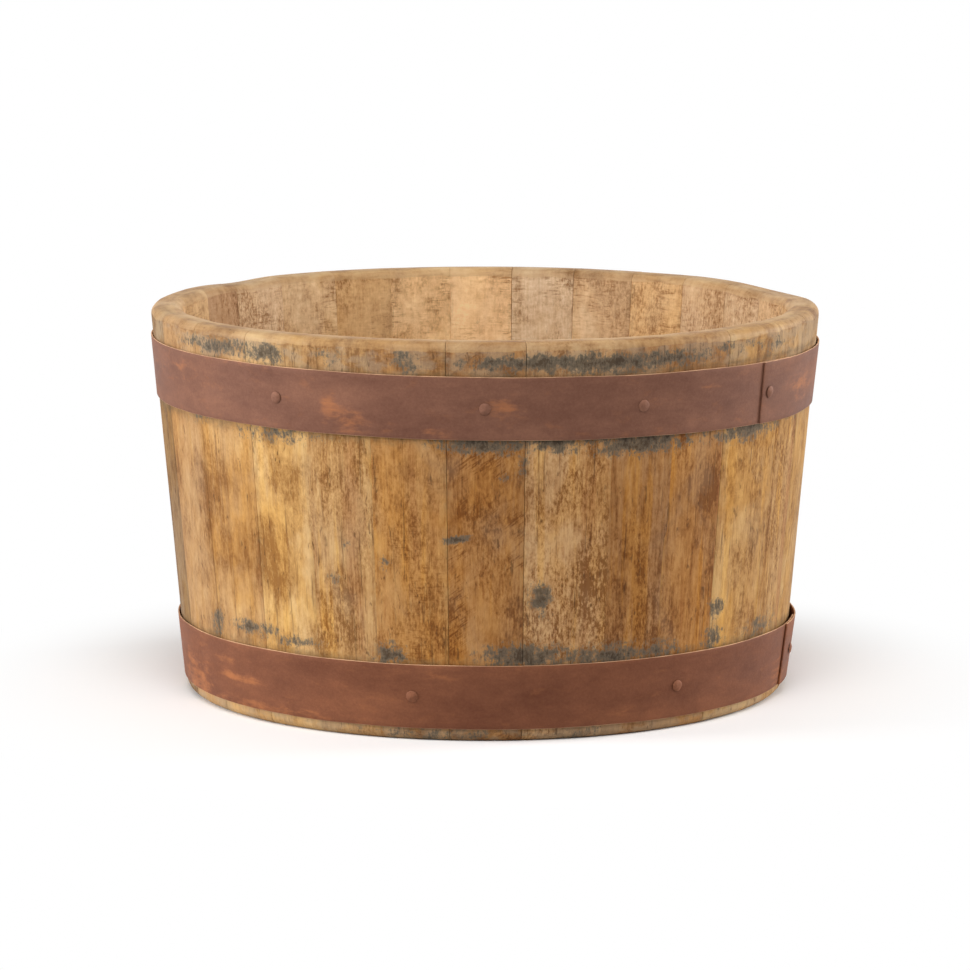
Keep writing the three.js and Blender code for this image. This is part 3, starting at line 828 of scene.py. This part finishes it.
def forge_nail(length, chance):
    """Along +Z, with the top of its head at zero."""
    bm = bmesh.new()
    bmesh.ops.create_uvsphere(bm, u_segments=NAIL_SIDES, v_segments=NAIL_RINGS, radius=1)
    bmesh.ops.bisect_plane(bm, geom=everything(bm), plane_co=(0, 0, 0), plane_no=(0, 0, 1),
                           clear_inner=True)
    blow = Vector([chance.uniform(0, 50) for _ in range(3)])
    slope = Vector((chance.uniform(-1, 1), chance.uniform(-1, 1))) * NAIL_SLOPE
    for vert in bm.verts:
        x, y, z = vert.co
        lean = noise.noise(Vector((x, y, 0)) * 1.1 + blow)
        spread = 1 - NAIL_UNEVENNESS * (0.5 + lean)
        level = z ** NAIL_CROWNING * (0.86 + NAIL_DENTS * noise.noise(vert.co * 1.6 + blow))
        level -= z * (NAIL_FLATTENING + slope.dot(vert.co.xy))
        vert.co = Vector((x * spread * NAIL_HEAD_RADIUS, y * spread * NAIL_HEAD_RADIUS,
                          level * NAIL_HEAD_HEIGHT - NAIL_HEAD_HEIGHT))
    along = bm.verts.layers.float_vector.new("along")
    for vert in bm.verts:
        vert[along] = vert.co + blow
    shank = [(NAIL_SHANK_RADIUS, -NAIL_HEAD_HEIGHT), (NAIL_SHANK_RADIUS, NAIL_POINT - length),
             (0, -length)]
    for radius, z in shank:
        ring = [edge for edge in bm.edges if edge.is_boundary]
        made = bmesh.ops.extrude_edge_only(bm, edges=ring)["geom"]
        moved = [v for v in made if isinstance(v, bmesh.types.BMVert)]
        for vert in moved:
            vert.co = (vert.co.xy.normalized() * radius).to_3d() + Vector((0, 0, z))
    bmesh.ops.remove_doubles(bm, verts=bm.verts[:], dist=TINY)
    bmesh.ops.recalc_face_normals(bm, faces=bm.faces[:])
    return bm


for node in sorted(name for name in nodes if "_nail_" in name):
    point, top = nail_ends(node)
    outward = (top - point).normalized()
    bm = forge_nail((top - point).length, random.Random(node))
    bm.transform(Matrix.Translation(top) @ outward.to_track_quat("Z", "Y").to_matrix().to_4x4())
    piece = finish_mesh(bm, f"{node}_steel", NAIL_RUST[node.split("_")[0]],
                        sharp_angle=60)
    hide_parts(node)
    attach(piece, "root")


# ---- Head ----
# The bottom of the tub: four sawn boards, dowelled edge to edge, turned to a disc and thinned at
# the rim to fit the groove in the staves. The dowels stay inside the joints.
BOARD_ARRIS = 0.0006
FACET_ANGLE = math.radians(1)
EDGE_ANGLE = math.radians(35)
HEAD_TONE = (198, 154, 106)
DOWEL_TONE = (218, 182, 136)


def dressed_copy(node, arris):
    """A CAD piece with its flat facets joined and its edges eased."""
    bm = bmesh.new()
    bm.from_mesh(nodes[node].data)
    bmesh.ops.remove_doubles(bm, verts=bm.verts[:], dist=TINY)
    bmesh.ops.dissolve_limit(bm, angle_limit=FACET_ANGLE, verts=bm.verts[:], edges=bm.edges[:])
    sharp = [edge for edge in bm.edges if edge.calc_face_angle(0) > EDGE_ANGLE]
    round_edges(bm, sharp, arris, 1)
    return bm


for node in sorted(name for name in nodes if name.startswith("head_")):
    kind = "head" if "board" in node else "dowel"
    bm = dressed_copy(node, BOARD_ARRIS if kind == "head" else BOARD_ARRIS / 2)
    chance = random.Random(node)
    seed = Vector([chance.uniform(0, GRAIN_SPREAD) for _ in range(3)])
    grain = bm.verts.layers.float_vector.new("grain")
    for vert in bm.verts:
        along = vert.co.y if kind == "head" else vert.co.x
        across = vert.co.x if kind == "head" else vert.co.y
        vert[grain] = Vector((across, vert.co.z, along)) + seed
    wood, tone = ("sawn", HEAD_TONE) if kind == "head" else ("plain", DOWEL_TONE)
    material = wood_material(f"{node} wood", wood, tone, tone)
    piece = finish_mesh(bm, f"{node}_wood", material, sharp_angle=30)
    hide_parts(node)
    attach(piece, "root")


# ---- Studio ----
# A white floor that keeps the tub's shadow and fades into a white surround, soft lamps at both
# sides and above, and the photograph's view.
scene = bpy.context.scene
scene.view_settings.view_transform = "Standard"

CAMERA_PLACE = (0, -4.0, 0.8098)
CAMERA_PITCH = 0.1565
CAMERA_LENS = 166.3
SENSOR_WIDTH = 36

camera_data = bpy.data.cameras.new("Camera")
camera_data.lens = CAMERA_LENS
camera_data.sensor_width = SENSOR_WIDTH
camera = bpy.data.objects.new("Camera", camera_data)
camera.location = CAMERA_PLACE
camera.rotation_euler = Euler((math.pi / 2 - CAMERA_PITCH, 0, 0))
scene.collection.objects.link(camera)
scene.camera = camera


def seen_directly(tree):
    """1 for the rays that should meet plain white: camera, glossy and transmission ones."""
    rays = put(tree, "ShaderNodeLightPath").outputs
    seen = math_on(tree, "MAXIMUM", rays["Is Camera Ray"], rays["Is Glossy Ray"])
    return math_on(tree, "MAXIMUM", seen, rays["Is Transmission Ray"])


WORLD_STRENGTH = 0.16
world = bpy.data.worlds.new("Studio")
world.use_nodes = True
scene.world = world
tree = world.node_tree
backdrop = tree.nodes["Background"]
strength = put(tree, "ShaderNodeMapRange", {"Value": seen_directly(tree), "To Min": WORLD_STRENGTH,
                                            "To Max": 1.0})
backdrop.inputs["Color"].default_value = (1, 1, 1, 1)
tree.links.new(strength.outputs["Result"], backdrop.inputs["Strength"])

LAMP_AIM = Vector((0, 0, 0.2))
# Each lamp: its place, the width of its square, and its power in watts.
LAMPS = [
    ("Left lamp", (-3.0, -0.42, 0.95), 1.4, 81),
    ("Right lamp", (2.9, 0.78, 0.95), 1.4, 73),
    ("Top lamp", (0, -1.7, 2.35), 1.6, 52),
]
for name, place, size, power in LAMPS:
    lamp_data = bpy.data.lights.new(name, "AREA")
    lamp_data.size = size
    lamp_data.energy = power
    lamp = bpy.data.objects.new(name, lamp_data)
    lamp.location = place
    lamp.rotation_euler = (LAMP_AIM - Vector(place)).to_track_quat("-Z", "Y").to_euler()
    scene.collection.objects.link(lamp)

FLOOR_SIZE = 30
FLOOR_FADE = (0.27, 0.52)  # the shadow fades out between these distances from the middle
FLOOR_PALE = 0.97
FLOOR_BOUNCE = 0.6
FLOOR_ROUGHNESS = 0.9
bm = bmesh.new()
bmesh.ops.create_grid(bm, x_segments=1, y_segments=1, size=FLOOR_SIZE / 2)
floor_paint = bpy.data.materials.new("Floor")
floor_paint.use_nodes = True
tree = floor_paint.node_tree
painted = tree.nodes["Principled BSDF"]
painted.inputs["Roughness"].default_value = FLOOR_ROUGHNESS
seen = seen_directly(tree)
tree.links.new(mixed(tree, seen, (*[FLOOR_BOUNCE] * 3, 1), (*[FLOOR_PALE] * 3, 1)),
               painted.inputs["Base Color"])
place = put(tree, "ShaderNodeTexCoord").outputs["Object"]
reach = put(tree, "ShaderNodeVectorMath", {0: place}, operation="LENGTH").outputs["Value"]
faded = times(tree, remapped(tree, reach, *FLOOR_FADE), seen)
white = put(tree, "ShaderNodeEmission", {"Color": (1, 1, 1, 1), "Strength": 1.0})
blend = put(tree, "ShaderNodeMixShader", {0: faded, 1: painted.outputs[0], 2: white.outputs[0]})
tree.links.new(blend.outputs[0], tree.nodes["Material Output"].inputs["Surface"])
finish_mesh(bm, "floor", floor_paint)
